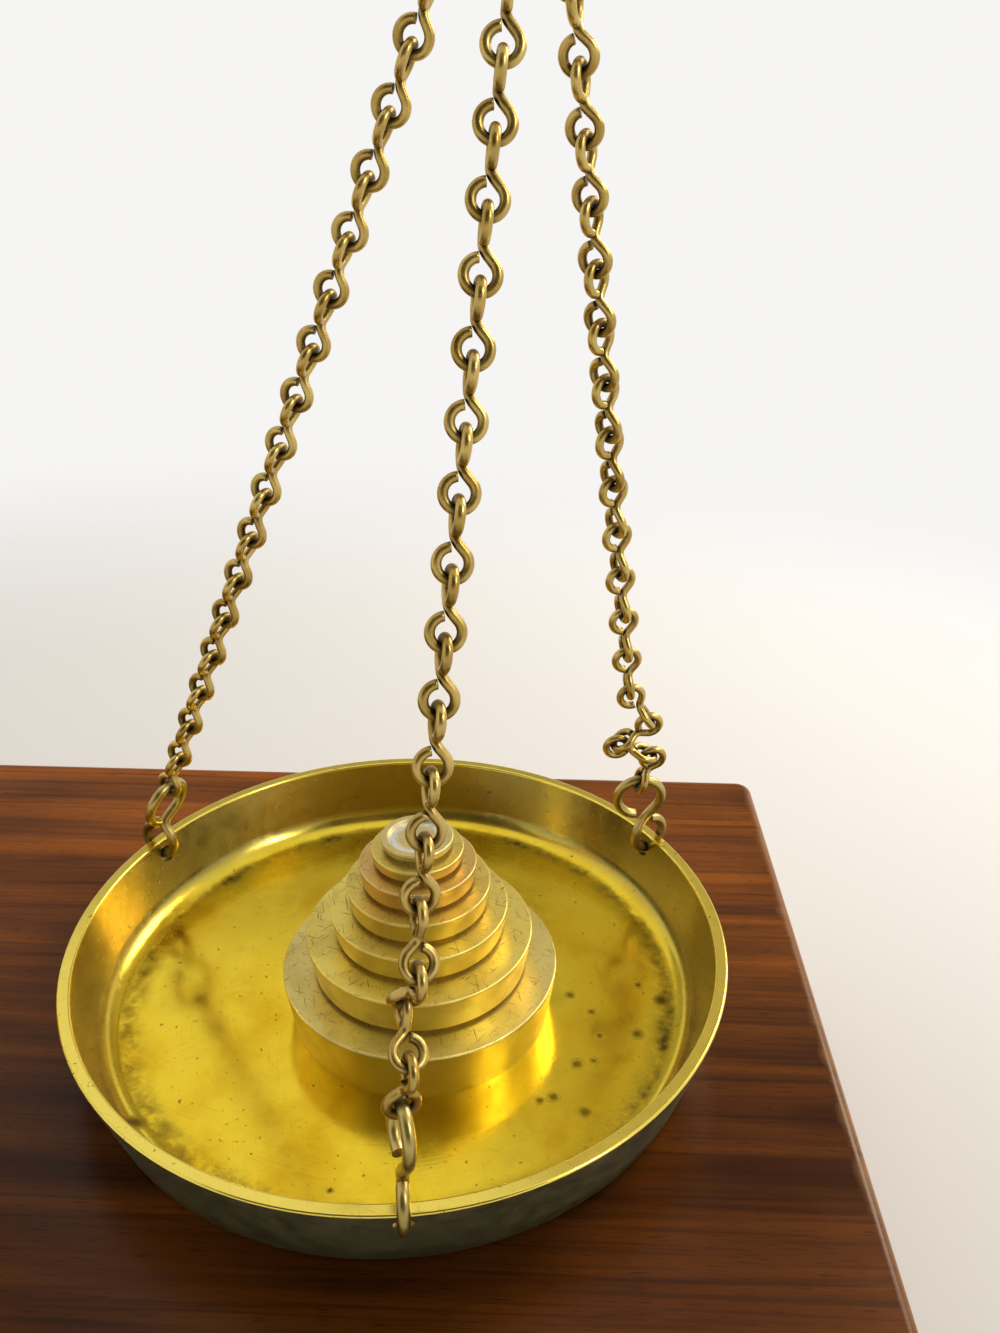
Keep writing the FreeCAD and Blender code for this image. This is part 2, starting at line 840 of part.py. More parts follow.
def beam():
    middle = fulcrum.z
    tips = [fulcrum - right * beam_arm, fulcrum + right * beam_arm]
    spans = ((beam_arm, beam_end_depth), (beam_arm / 2, beam_quarter_depth), (0, beam_mid_depth))
    edges = []
    for side in (-1, 1):
        curves = []
        for level in (-1, 1):
            points = [Vector(side * reach, -beam_half, middle + level * depth / 2) for reach, depth in spans]
            curves.append(Part.Arc(*points))
        edges.extend(curve.toShape() for curve in curves)
        edges.append(Part.makeLine(curves[0].StartPoint, curves[1].StartPoint))
    outer = Part.Wire(Part.sortEdges(edges)[0])
    bar = Part.Face(outer).extrude(back * beam_thickness)
    bar = bar.fuse(rod(mid_boss_radius, beam_thickness, fulcrum - back * beam_half, back))
    for tip in tips:
        bar = bar.fuse(rod(end_boss_radius, beam_thickness, tip - back * beam_half, back))
    seat = middle + mid_boss_radius + finial_seat_rise
    bar = bar.fuse(
        block(
            Vector(-finial_seat_width / 2, -beam_half, middle + mid_boss_radius / 2),
            Vector(finial_seat_width / 2, beam_half, seat),
        )
    )
    bar = bar.removeSplitter()
    bar = bored(bar, finial_stud_radius + brass_fit, up * seat, -up, finial_stud_length + brass_fit)
    clear = beam_half + overrun
    bar = bar.cut(knife_slot(fulcrum, mid_knife_half_width, mid_knife_height, -clear, clear))
    for tip in tips:
        bar = bar.cut(knife_slot(tip, end_knife_half_width, -end_knife_height, -clear, clear))
    write("beam", tilted(bar))
    mid_knife = knife(fulcrum, mid_knife_half_width, mid_knife_height, -mid_knife_front, cheek_outer)
    write("center_knife", tilted(mid_knife))
    reach = stirrup_outer + end_knife_overhang
    end_knives = [knife(tip, end_knife_half_width, -end_knife_height, -reach, reach) for tip in tips]
    write("end_knives", *[tilted(solid) for solid in end_knives])
    corners = [
        (0, seat - finial_stud_length, 0),
        (finial_stud_radius, seat - finial_stud_length, 0),
        (finial_stud_radius, seat, 0),
    ]
    for radius, height, rounding in finial_shares:
        corners.append((radius * finial_radius, seat + height * finial_height, rounding * finial_radius))
    corners.append((0, seat + finial_height, 0))
    write("beam_finial", tilted(turned(corners)))


def pointer():
    rear = -cheek_outer - pointer_standoff
    front = rear - pointer_thickness
    hub = rod(pointer_hub_radius, pointer_thickness, fulcrum + back * front, back)
    root = pointer_root_width / 2
    tip = pointer_tip_width / 2
    foot = fulcrum.z - pointer_length
    needle = slab(
        (
            (-tip, foot, 0),
            (tip, foot, 0),
            (root, fulcrum.z, 0),
            (-root, fulcrum.z, 0),
        ),
        front,
        rear,
    )
    slot = knife_slot(fulcrum, mid_knife_half_width, mid_knife_height, front - overrun, rear + overrun)
    write("pointer", tilted(hub.fuse(needle).removeSplitter().cut(slot)))


def stirrup(edge):
    """Stirrup whose bearing hangs on a knife edge."""
    corners = (
        (-stirrup_half_width, stirrup_crown, stirrup_crown_round),
        (-stirrup_half_width, -stirrup_window_depth, stirrup_crown_round),
        (-stirrup_foot_half_width, -bridge_foot, 0),
        (stirrup_foot_half_width, -bridge_foot, 0),
        (stirrup_half_width, -stirrup_window_depth, stirrup_crown_round),
        (stirrup_half_width, stirrup_crown, stirrup_crown_round),
    )
    body = slab(corners, -stirrup_outer, stirrup_outer)
    body = body.cut(
        block(
            Vector(-stirrup_half_width - overrun, -stirrup_inner, -bridge_top),
            Vector(stirrup_half_width + overrun, stirrup_inner, stirrup_crown + overrun),
        )
    )
    shoulder = edge_gap - stirrup_window_half_width / math.tan(math.radians(groove_half_angle))
    window = (
        (0, edge_gap, 0),
        (stirrup_window_half_width, shoulder, 0),
        (stirrup_window_half_width, -stirrup_window_depth, 0),
        (-stirrup_window_half_width, -stirrup_window_depth, 0),
        (-stirrup_window_half_width, shoulder, 0),
    )
    body = body.cut(slab(window, -stirrup_outer - overrun, stirrup_outer + overrun))
    body = bored(body, hook_wire / 2 + brass_fit, up * -bridge_foot, up, bridge_thickness + overrun)
    body.translate(edge)
    return body


def hook(edge):
    """Hook riveted through the stirrup's bridge, bent to hold the chains."""
    turn = math.atan2(hook_neck_fall, hook_neck_round)
    neck = Vector(hook_neck_round, 0, -hook_neck_drop)
    bend = Vector(0, 0, -hook_centre_drop)

    def on_bend(angle):
        return bend + Vector(hook_bend_radius * math.cos(angle), 0, hook_bend_radius * math.sin(angle))

    def on_neck(angle):
        return neck - Vector(hook_neck_round * math.cos(angle), 0, hook_neck_round * math.sin(angle))

    last = math.radians(hook_tip_angle) - 2 * math.pi
    half = (turn + last) / 2
    edges = [
        Part.makeLine(up * -bridge_top, up * -hook_neck_drop),
        Part.Arc(on_neck(0), on_neck(turn / 2), on_neck(turn)).toShape(),
        Part.Arc(on_bend(turn), on_bend((turn + half) / 2), on_bend(half)).toShape(),
        Part.Arc(on_bend(half), on_bend((half + last) / 2), on_bend(last)).toShape(),
    ]
    solid = swept(edges, hook_wire / 2)
    solid = solid.fuse(rod(rivet_radius, rivet_height, up * -bridge_top))
    solid = solid.fuse(rod(hook_collar_radius, hook_collar_height, up * (-bridge_foot - hook_collar_height)))
    solid = solid.removeSplitter()
    solid.translate(edge)
    return solid


def pan(centre, mirrored):
    wall_foot = pan_foot_radius + pan_slope * pan_floor - pan_wall
    solid = turned(
        (
            (0, 0, 0),
            (pan_foot_radius, 0, pan_foot_round),
            (pan_rim_radius, pan_height, pan_rim_chamfer),
            (pan_rim_radius - pan_wall, pan_height, pan_rim_chamfer),
            (wall_foot, pan_floor, pan_cove),
            (0, pan_floor, 0),
        ),
        centre,
    )
    for angle in hole_angles(mirrored):
        inward = leaning(angle, rim_hook_stand - 90, 1)
        mouth = rim_hole(centre, angle) - inward * pan_wall
        solid = bored(solid, pan_hole_radius, mouth, inward, 2 * pan_wall)
    return solid


def rim_hooks(centre, mirrored, twists):
    hooks = []
    for angle, twist in zip(hole_angles(mirrored), twists):
        eight = wire_eight(
            rim_hook_wire,
            rim_hook_upper_radius,
            rim_hook_lower_radius,
            rim_hook_waist_share,
            rim_hook_end_angle,
            twist,
        )
        side = rim_hook_side(angle, twist)
        hooks.append(placed(eight, rim_hook_waist(centre, angle), side, leaning(angle, -rim_hook_lean, 1)))
    return hooks


def folded_run(pan_centre, angle, twist, axis, fold):
    """Folded links from the top one down, as directions, sides and upper ends, and the end above them."""
    across = square_to(rim_hook_side(angle, twist), axis)
    steps = []
    sides = []
    for index in range(slack_count):
        lean = fold * (-1) ** (slack_count + index)
        if index in (0, slack_count - 1):
            lean = math.asin(math.sin(lean) / 2)
        steps.append(axis * math.cos(lean) + across * math.sin(lean))
        sides.append(across * math.cos(lean) - axis * math.sin(lean))
    tops = []
    end = chain_foot(pan_centre, angle, twist, steps[-1])
    for step in reversed(steps):
        top = end + step * link_length
        tops.insert(0, top)
        end = top - step * link_overlap
    return steps, sides, tops, end


def chain(link, hook_centre, saddle, pan_centre, angle, twist):
    """Links from the hook's bend down to a rim hook. What is slack lies folded at the lower end."""
    start = hook_centre + saddle
    axis = unit(start - chain_foot(pan_centre, angle, twist, up))
    straight_count = chain_count - slack_count
    least = 0
    most = math.radians(fold_limit)
    for attempt in range(solver_steps):
        fold = (least + most) / 2
        steps, sides, tops, end = folded_run(pan_centre, angle, twist, axis, fold)
        if (start - end).Length > straight_run(straight_count):
            most = fold
        else:
            least = fold
        axis = unit(start - end)
    lowest_side = square_to(rim_hook_side(angle, twist), axis)
    top_side = unit(saddle.cross(back).cross(axis))
    turn = math.degrees(math.atan2(top_side.cross(lowest_side).dot(axis), top_side.dot(lowest_side)))
    turn = turn - 180 * round(turn / 180)
    links = []
    for index in range(straight_count):
        top = start + axis * (top_overlap - index * (link_length - link_overlap))
        across = FreeCAD.Rotation(axis, turn * index / (straight_count - 1)).multVec(top_side)
        links.append(placed(link, top - axis * (link_length / 2), across, axis))
    for step, side, top in zip(steps, sides, tops):
        links.append(placed(link, top - step * (link_length / 2), side, step))
    return links


def hanging_set(side, edge, hook_centre, pan_centre, mirrored, twists):
    write(side + "_stirrup", stirrup(edge))
    write(side + "_hook", hook(edge))
    radius = chain_loop_radius
    link = wire_eight(chain_wire, radius, radius, chain_waist_share, chain_end_angle, 90)
    places = ("outer", "inner", "front")
    for place, angle, saddle, twist in zip(places, hole_angles(mirrored), saddles(mirrored), twists):
        write(side + "_chain_" + place, *chain(link, hook_centre, saddle, pan_centre, angle, twist))
    write(side + "_rim_hooks", *rim_hooks(pan_centre, mirrored, twists))
    write(side + "_pan", pan(pan_centre, mirrored))


def weights():
    foot = right_pan_foot + Vector(weight_off_right, -weight_off_front, pan_floor)
    for index, (radius, height) in enumerate(zip(weight_radii, weight_heights)):
        low_radius = radius * weight_foot_share
        corners = [(0, 0, 0)]
        if index > 0:
            stem = weight_recess + weight_shadow_gap
            corners.append((low_radius - weight_recess_inset, 0, 0))
            corners.append((low_radius - weight_recess_inset, stem, 0))
        else:
            stem = 0
        top = stem + height
        above = weight_radii[index + 1] * weight_foot_share if index + 1 < len(weight_radii) else low_radius
        recess_radius = above - weight_recess_inset + weight_recess_play
        corners.append((low_radius, stem, 0))
        corners.append((radius, top, weight_edge_round))
        corners.append((recess_radius, top, 0))
        corners.append((recess_radius, top - weight_recess, 0))
        corners.append((0, top - weight_recess, 0))
        write("weight_" + str(index + 1), turned(corners, foot))
        foot = foot + up * (top - weight_recess)


def main():
    os.makedirs("parts", exist_ok=True)
    base_box()
    drawer()
    pillar()
    index_plate()
    fork()
    beam()
    pointer()
    hanging_set("right", right_knife, right_hook_centre, right_pan_foot, False, right_hook_twists)
    hanging_set("left", left_knife, left_hook_centre, left_pan_foot, True, left_hook_twists)
    weights()


main()
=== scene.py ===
import bpy
import json
import math
from mathutils import Matrix, Vector


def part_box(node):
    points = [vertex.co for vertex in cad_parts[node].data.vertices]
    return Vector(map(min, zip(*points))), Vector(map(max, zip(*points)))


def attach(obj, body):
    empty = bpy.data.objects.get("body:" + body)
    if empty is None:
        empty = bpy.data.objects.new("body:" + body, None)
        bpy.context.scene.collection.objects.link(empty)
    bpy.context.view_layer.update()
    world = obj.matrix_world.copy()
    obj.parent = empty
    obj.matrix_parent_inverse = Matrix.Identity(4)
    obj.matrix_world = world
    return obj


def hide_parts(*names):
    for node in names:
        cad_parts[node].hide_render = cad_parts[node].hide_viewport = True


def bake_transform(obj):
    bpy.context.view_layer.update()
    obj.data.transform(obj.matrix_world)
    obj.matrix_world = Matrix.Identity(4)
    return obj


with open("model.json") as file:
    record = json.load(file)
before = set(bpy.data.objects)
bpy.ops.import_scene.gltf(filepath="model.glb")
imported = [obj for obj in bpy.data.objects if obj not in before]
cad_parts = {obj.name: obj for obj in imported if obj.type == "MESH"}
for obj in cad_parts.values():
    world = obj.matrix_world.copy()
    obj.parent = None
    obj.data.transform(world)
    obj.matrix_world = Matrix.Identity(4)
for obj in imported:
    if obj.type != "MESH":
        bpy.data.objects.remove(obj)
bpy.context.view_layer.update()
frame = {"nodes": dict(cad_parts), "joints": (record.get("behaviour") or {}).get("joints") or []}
nodes = frame["nodes"]
scene = bpy.context.scene
scene.view_settings.view_transform = "Standard"
mm = 0.001
bpy.ops.object.select_all(action="DESELECT")
print("frame loaded,", len(nodes), "CAD nodes")


# Camera at the photograph's place, measured from the middle of the right pan's foot
cameraSetup = {
    "lens": 29.63,
    "sensor": 36.0,
    "fromPan": (33.3, -236.3, 222.6),
    "pitch": 26.67,
    "yaw": -1.58,
    "roll": -0.60,
    "clipStart": 0.01,
}


def panFoot(node):
    low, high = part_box(node)
    return Vector(((low.x + high.x) / 2, (low.y + high.y) / 2, low.z))


def placeCamera():
    pitch, yaw, roll = (math.radians(cameraSetup[turn]) for turn in ("pitch", "yaw", "roll"))
    forward = Vector((math.sin(yaw) * math.cos(pitch), math.cos(yaw) * math.cos(pitch), -math.sin(pitch)))
    level = Vector((math.cos(yaw), -math.sin(yaw), 0))
    down = forward.cross(level)
    across = level * math.cos(roll) + down * math.sin(roll)
    upward = level * math.sin(roll) - down * math.cos(roll)
    turn = Matrix((across, upward, -forward)).transposed().to_4x4()
    place = panFoot("right_pan") + Vector(cameraSetup["fromPan"]) * mm
    bpy.ops.object.camera_add()
    camera = bpy.context.object
    camera.name = "photoCamera"
    camera.data.lens = cameraSetup["lens"]
    camera.data.sensor_width = cameraSetup["sensor"]
    camera.data.clip_start = cameraSetup["clipStart"]
    camera.matrix_world = Matrix.Translation(place) @ turn
    scene.camera = camera


placeCamera()
print("camera placed")


# Shared helpers for the finishes
def linear(hexColour):
    channels = [int(hexColour[start:start + 2], 16) / 255 for start in (1, 3, 5)]
    return [c / 12.92 if c <= 0.04045 else ((c + 0.055) / 1.055) ** 2.4 for c in channels] + [1.0]


def perMm(size):
    return 1 / (size * mm)  # texture scale for a pattern whose repeat measures size in mm


# Inputs are values or sockets, in order or by the names or numbers of the node's own sockets
def addNode(tree, kind, inputs=(), stops=None, **settings):
    node = tree.nodes.new("ShaderNode" + kind)
    for name, value in settings.items():
        setattr(node, name, value)
    for place, value in inputs.items() if isinstance(inputs, dict) else enumerate(inputs):
        if isinstance(value, bpy.types.NodeSocket):
            tree.links.new(value, node.inputs[place])
        else:
            node.inputs[place].default_value = value
    if stops:
        elements = node.color_ramp.elements
        while len(elements) < len(stops):
            elements.new(0.5)
        for element, (position, colour) in zip(elements, stops):
            element.position = position
            element.color = linear(colour)
    return node


def startMaterial(name):
    material = bpy.data.materials.new(name)
    material.use_nodes = True
    tree = material.node_tree
    return material, tree, tree.nodes["Principled BSDF"], addNode(tree, "TexCoord").outputs["Object"]


def dress(material, *names):
    for name in names:
        nodes[name].data.materials.clear()
        nodes[name].data.materials.append(material)


# Studio: pale floor and background, a tall window light at the front right that only shows in gloss, a soft
# light behind on the right, and flags that give the metal something to reflect. Places and sizes are in m
studio = {
    "background": "#f6f5f4",
    "floor": "#f8f7f5",
    "floorSize": 8.0,
    "paperRoughness": 0.9,
    "clothRoughness": 1.0,
    "fadeStart": 0.35,
    "fadeEnd": 0.9,
    "ambient": 0.74,
    "lamps": {
        "windowLight": {
            "place": (0.87, -0.34, 0.80),
            "size": (0.08, 0.34),
            "power": 2.8,
            "colour": "#ffffff",
            "diffuse": False,
        },
        "softLight": {
            "place": (1.05, 0.75, 0.85),
            "size": (0.45, 0.45),
            "power": 10.0,
            "colour": "#fff2de",
            "diffuse": True,
        },
    },
    "flags": {
        "frontFlag": {"place": (0.1, -0.7, 0.85), "size": (1.5, 1.1), "colour": "#625e57"},
        "backFlag": {"place": (0.15, 1.6, 1.05), "size": (3.4, 0.62), "colour": "#c9c6c0"},
        "upperFlag": {"place": (0.62, 1.1, 1.25), "size": (0.9, 0.7), "colour": "#dfd8ca"},
    },
}


def facingPan(place):
    return (place - panFoot("right_pan")).to_track_quat("Z", "Y").to_euler()


def seenDirectly(tree):
    path = addNode(tree, "LightPath").outputs
    rays = (path["Is Glossy Ray"], path["Is Transmission Ray"])
    shiny = addNode(tree, "Math", rays, operation="MAXIMUM").outputs[0]
    return addNode(tree, "Math", (path["Is Camera Ray"], shiny), operation="MAXIMUM").outputs[0]


def buildStudio():
    world = bpy.data.worlds.new("studio")
    world.use_nodes = True
    scene.world = world
    tree = world.node_tree
    tree.nodes.clear()
    colour = linear(studio["background"])
    ambient = addNode(tree, "Background", {"Color": colour, "Strength": studio["ambient"]}).outputs[0]
    backdrop = addNode(tree, "Background", {"Color": colour, "Strength": 1.0}).outputs[0]
    both = addNode(tree, "MixShader", {0: seenDirectly(tree), 1: ambient, 2: backdrop}).outputs[0]
    addNode(tree, "OutputWorld", {"Surface": both})

    for name, setup in studio["lamps"].items():
        place = Vector(setup["place"])
        bpy.ops.object.light_add(type="AREA", location=place, rotation=facingPan(place))
        lamp = bpy.context.object
        lamp.name = name
        lamp.data.shape = "RECTANGLE"
        lamp.data.size, lamp.data.size_y = setup["size"]
        lamp.data.energy = setup["power"]
        lamp.data.color = linear(setup["colour"])[:3]
        lamp.visible_camera = False
        lamp.visible_diffuse = setup["diffuse"]

    for name, setup in studio["flags"].items():
        place = Vector(setup["place"])
        bpy.ops.mesh.primitive_plane_add(size=1, location=place, rotation=facingPan(place))
        flag = bpy.context.object
        flag.name = name
        flag.scale = (*setup["size"], 1)
        cloth, tree, shader, coords = startMaterial(name + "Cloth")
        shader.inputs["Base Color"].default_value = linear(setup["colour"])
        shader.inputs["Roughness"].default_value = studio["clothRoughness"]
        flag.data.materials.append(cloth)
        flag.visible_camera = False
        flag.visible_shadow = False

    # The paper fades into the background, so no horizon shows
    bpy.ops.mesh.primitive_plane_add(size=studio["floorSize"])
    floor = bpy.context.object
    floor.name = "studioFloor"
    paper, tree, shader, coords = startMaterial("paleStudioPaper")
    shader.inputs["Base Color"].default_value = linear(studio["floor"])
    shader.inputs["Roughness"].default_value = studio["paperRoughness"]
    away = addNode(tree, "VectorMath", {0: coords}, operation="LENGTH").outputs["Value"]
    limits = {0: away, 1: studio["fadeStart"], 2: studio["fadeEnd"]}
    ramp = addNode(tree, "MapRange", limits, interpolation_type="SMOOTHSTEP").outputs[0]
    ramp = addNode(tree, "Math", {0: ramp, 1: seenDirectly(tree)}, operation="MULTIPLY").outputs[0]
    glow = addNode(tree, "Emission", {"Color": colour, "Strength": 1.0}).outputs[0]
    both = addNode(tree, "MixShader", {0: ramp, 1: shader.outputs[0], 2: glow}).outputs[0]
    tree.links.new(both, tree.nodes["Material Output"].inputs["Surface"])
    floor.data.materials.append(paper)


buildStudio()
print("studio built")


# Spun and polished sheet brass: a warm mirror that blurs a little, with tarnish in the corner and spots.
# Lengths are in mm. Where a noise is turned into a share, its limits come first and then what they give
panLook = {
    "clouds": ((0.3, "#dbb01c"), (0.47, "#eecb32"), (0.6, "#efd038"), (0.74, "#dac235")),
    "wall": "#aa994e",
    "rim": "#f0d860",
    "tarnish": "#4e4c31",
    "sheen": "#6c6945",
    "grime": "#54401a",
    "spot": "#5a4610",
    "scuff": "#9a7d1c",
    "cloudSize": 26,
    "patchSize": 5,
    "speckSize": 1.6,
    "cloudShare": 0.6,
    "scuffSize": (9, 0.3),
    "scuffTurns": (20, 75, 145),
    "scuffs": (0.7, 0.8, 0, 0.4),
    "specks": (0.68, 0.75, 0, 0.65),
    "wallStart": 3.3,
    "wallFull": 6.5,
    "slope": 6.6 / 23.1,
    "outerWall": 81.6,
    "outerBlend": 0.5,
    "rimHeight": 22.4,
    "skin": (0.6, 0.95),
    "ringInner": 68.5,
    "ringPeak": 75.0,
    "ringOuter": 78.0,
    "ringHeight": 6,
    "ringBreaks": (0.62, 1.05),
    "polish": (0.3, 0.7, 0.13, 0.22),
    "dirtDulls": 0.35,
    "wallDulls": 0.05,
    "outsideDulls": 0.14,
    "outsideMetal": 0.4,
    "stretch": (0.15, 0.75),
    "linePitch": 0.9,
    "patchRelief": 0.35,
    "bump": 0.12,
    "bumpDepth": 0.05,
    "spotWobble": 0.6,
    "spotEdges": (0.4, 1.5),
    "spotClear": 0.1,
    "spotTurns": {"left_pan": 140, "right_pan": 0},
    "spots": (
        (47.4, -2.8, 1.3), (53.3, -9.1, 1.1), (66.8, 2.0, 1.0), (65.0, -16.7, 1.7), (72.7, -3.7, 1.9),
        (55.0, -17.8, 1.2), (48.6, -27.8, 1.6), (53.0, -26.5, 1.0), (42.3, -38.7, 1.5), (39.0, -40.0, 1.1),
        (50.1, -43.0, 1.9), (-8.9, -67.4, 0.7), (-59.0, -51.5, 2.2),
    ),
}


def spunBrass(name, pan):
    material, tree, shader, coords = startMaterial(name)
    place = addNode(tree, "Mapping", {"Vector": coords, "Location": -panFoot(pan)}).outputs[0]
    flat = addNode(tree, "VectorMath", {0: place, 1: (1, 1, 0)}, operation="MULTIPLY").outputs[0]
    radius = addNode(tree, "VectorMath", {0: flat}, operation="LENGTH").outputs["Value"]
    height = addNode(tree, "SeparateXYZ", {0: place}).outputs["Z"]
    cloud = addNode(
        tree, "TexNoise", {"Vector": place, "Scale": perMm(panLook["cloudSize"]), "Detail": 4}
    ).outputs[0]
    patch = addNode(
        tree, "TexNoise",
        {"Vector": place, "Scale": perMm(panLook["patchSize"]), "Detail": 5, "Roughness": 0.65},
    ).outputs[0]
    speck = addNode(
        tree, "TexNoise", {"Vector": place, "Scale": perMm(panLook["speckSize"]), "Detail": 2}
    ).outputs[0]
    thick = addNode(
        tree, "Math", (cloud, panLook["cloudShare"], patch), operation="MULTIPLY_ADD"
    ).outputs[0]

    # Soft clouds of handling over the polish
    colour = addNode(tree, "ValToRGB", {0: cloud}, panLook["clouds"]).outputs[0]

    # The wall is polished less often than the floor, and its outer face is left dull
    climb = addNode(
        tree, "MapRange", (height, panLook["wallStart"] * mm, panLook["wallFull"] * mm)
    ).outputs[0]
    below = addNode(tree, "Math", {0: height, 1: panLook["rimHeight"] * mm}, operation="LESS_THAN").outputs[0]
    climb = addNode(tree, "Math", {0: climb, 1: below}, operation="MULTIPLY").outputs[0]
    colour = addNode(
        tree, "Mix", {0: below, 6: linear(panLook["rim"]), 7: colour}, data_type="RGBA"
    ).outputs[2]
    colour = addNode(
        tree, "Mix", {0: climb, 6: colour, 7: linear(panLook["wall"])}, data_type="RGBA"
    ).outputs[2]
    rise = addNode(
        tree, "Math", (height, -panLook["slope"], radius), operation="MULTIPLY_ADD"
    ).outputs[0]
    wall = panLook["outerWall"] * mm
    outside = addNode(tree, "MapRange", (rise, wall, wall + panLook["outerBlend"] * mm)).outputs[0]
    outside = addNode(tree, "Math", {0: outside, 1: below}, operation="MULTIPLY").outputs[0]
    stops = list(zip(panLook["skin"], (panLook["tarnish"], panLook["sheen"])))
    skin = addNode(tree, "ValToRGB", {0: thick}, stops).outputs[0]
    colour = addNode(tree, "Mix", {0: outside, 6: colour, 7: skin}, data_type="RGBA").outputs[2]

    # Old polish and dirt gather where the floor meets the wall
    inner, peak, outer = (panLook[key] * mm for key in ("ringInner", "ringPeak", "ringOuter"))
    rising = addNode(
        tree, "MapRange", (radius, inner, peak), interpolation_type="SMOOTHSTEP"
    ).outputs[0]
    falling = addNode(
        tree, "MapRange", (radius, peak, outer, 1, 0), interpolation_type="SMOOTHSTEP"
    ).outputs[0]
    ring = addNode(tree, "Math", {0: rising, 1: falling}, operation="MULTIPLY").outputs[0]
    broken = addNode(tree, "MapRange", (thick, *panLook["ringBreaks"])).outputs[0]
    ring = addNode(tree, "Math", {0: ring, 1: broken}, operation="MULTIPLY").outputs[0]
    inside = addNode(
        tree, "Math", (height, panLook["ringHeight"] * mm), operation="LESS_THAN"
    ).outputs[0]
    dirt = addNode(tree, "Math", {0: ring, 1: inside}, operation="MULTIPLY").outputs[0]

    # Hairline scuffs, a few specks all over, and the larger oxide spots
    scuffs = None
    for turn in panLook["scuffTurns"]:
        long, wide = panLook["scuffSize"]
        lay = addNode(tree, "Mapping", {"Vector": place, "Rotation": (0, 0, math.radians(turn))}).outputs[0]
        lay = addNode(
            tree, "VectorMath", {0: lay, 1: (perMm(long), perMm(wide), perMm(long))}, operation="MULTIPLY"
        ).outputs[0]
        line = addNode(tree, "TexNoise", {"Vector": lay, "Scale": 1.0, "Detail": 1}).outputs[0]
        line = addNode(tree, "MapRange", (line, *panLook["scuffs"])).outputs[0]
        scuffs = addNode(tree, "Math", {0: scuffs or 0.0, 1: line}, operation="MAXIMUM").outputs[0]
    colour = addNode(
        tree, "Mix", {0: scuffs, 6: colour, 7: linear(panLook["scuff"])}, data_type="RGBA"
    ).outputs[2]
    specks = addNode(tree, "MapRange", (speck, *panLook["specks"])).outputs[0]
    dirt = addNode(tree, "Math", {0: dirt, 1: specks}, operation="MAXIMUM").outputs[0]
    colour = addNode(
        tree, "Mix", {0: dirt, 6: colour, 7: linear(panLook["grime"])}, data_type="RGBA"
    ).outputs[2]
    swing = panLook["spotWobble"] * mm
    wobble = addNode(tree, "MapRange", {0: speck, 3: -swing, 4: swing}).outputs[0]
    oxide = inside
    spotTurn = Matrix.Rotation(math.radians(panLook["spotTurns"][pan]), 3, "Z")
    for east, north, size in panLook["spots"]:
        centre = spotTurn @ Vector((east * mm, north * mm, 0))
        core, edge = (size * share * mm for share in panLook["spotEdges"])
        away = addNode(tree, "VectorMath", {0: flat, 1: centre}, operation="DISTANCE").outputs["Value"]
        away = addNode(tree, "Math", {0: away, 1: wobble}).outputs[0]
        clear = addNode(tree, "MapRange", (away, core, edge, panLook["spotClear"], 1)).outputs[0]
        oxide = addNode(tree, "Math", {0: oxide, 1: clear}, operation="MULTIPLY").outputs[0]
    spotted = addNode(tree, "Math", {0: inside, 1: oxide}, operation="SUBTRACT").outputs[0]
    colour = addNode(
        tree, "Mix", {0: spotted, 6: colour, 7: linear(panLook["spot"])}, data_type="RGBA"
    ).outputs[2]
    tree.links.new(colour, shader.inputs["Base Color"])

    # Polish wears unevenly; dirt and spots are dull
    rough = addNode(tree, "MapRange", (patch, *panLook["polish"])).outputs[0]
    dull = addNode(tree, "Math", {0: dirt, 1: spotted}, operation="MAXIMUM").outputs[0]
    for share, added in ((dull, "dirtDulls"), (climb, "wallDulls"), (outside, "outsideDulls")):
        rough = addNode(
            tree, "Math", (share, panLook[added], rough), operation="MULTIPLY_ADD"
        ).outputs[0]
    tree.links.new(rough, shader.inputs["Roughness"])
    metal = addNode(tree, "MapRange", {0: outside, 3: 1.0, 4: panLook["outsideMetal"]}).outputs[0]
    tree.links.new(metal, shader.inputs["Metallic"])

    # Spinning leaves fine lines around the axis, which stretch the lights across the wall
    around = addNode(tree, "VectorMath", {0: (0, 0, 1), 1: flat}, operation="CROSS_PRODUCT").outputs[0]
    around = addNode(tree, "VectorMath", {0: around}, operation="NORMALIZE").outputs[0]
    tree.links.new(around, shader.inputs["Tangent"])
    shader.inputs["Anisotropic Rotation"].default_value = 0.25
    stretch = addNode(tree, "MapRange", (climb, 0, 1, *panLook["stretch"])).outputs[0]
    tree.links.new(stretch, shader.inputs["Anisotropic"])
    lines = {"W": radius, "Scale": perMm(panLook["linePitch"]), "Detail": 1}
    turning = addNode(tree, "TexNoise", lines, noise_dimensions="1D").outputs[0]
    relief = addNode(
        tree, "Math", (patch, panLook["patchRelief"], turning), operation="MULTIPLY_ADD"
    ).outputs[0]
    bump = addNode(
        tree, "Bump",
        {"Height": relief, "Strength": panLook["bump"], "Distance": panLook["bumpDepth"] * mm},
    ).outputs[0]
    tree.links.new(bump, shader.inputs["Normal"])
    return material


for side in ("left", "right"):
    dress(spunBrass(side + "PanSpunBrass", side + "_pan"), side + "_pan")
print("pans finished")


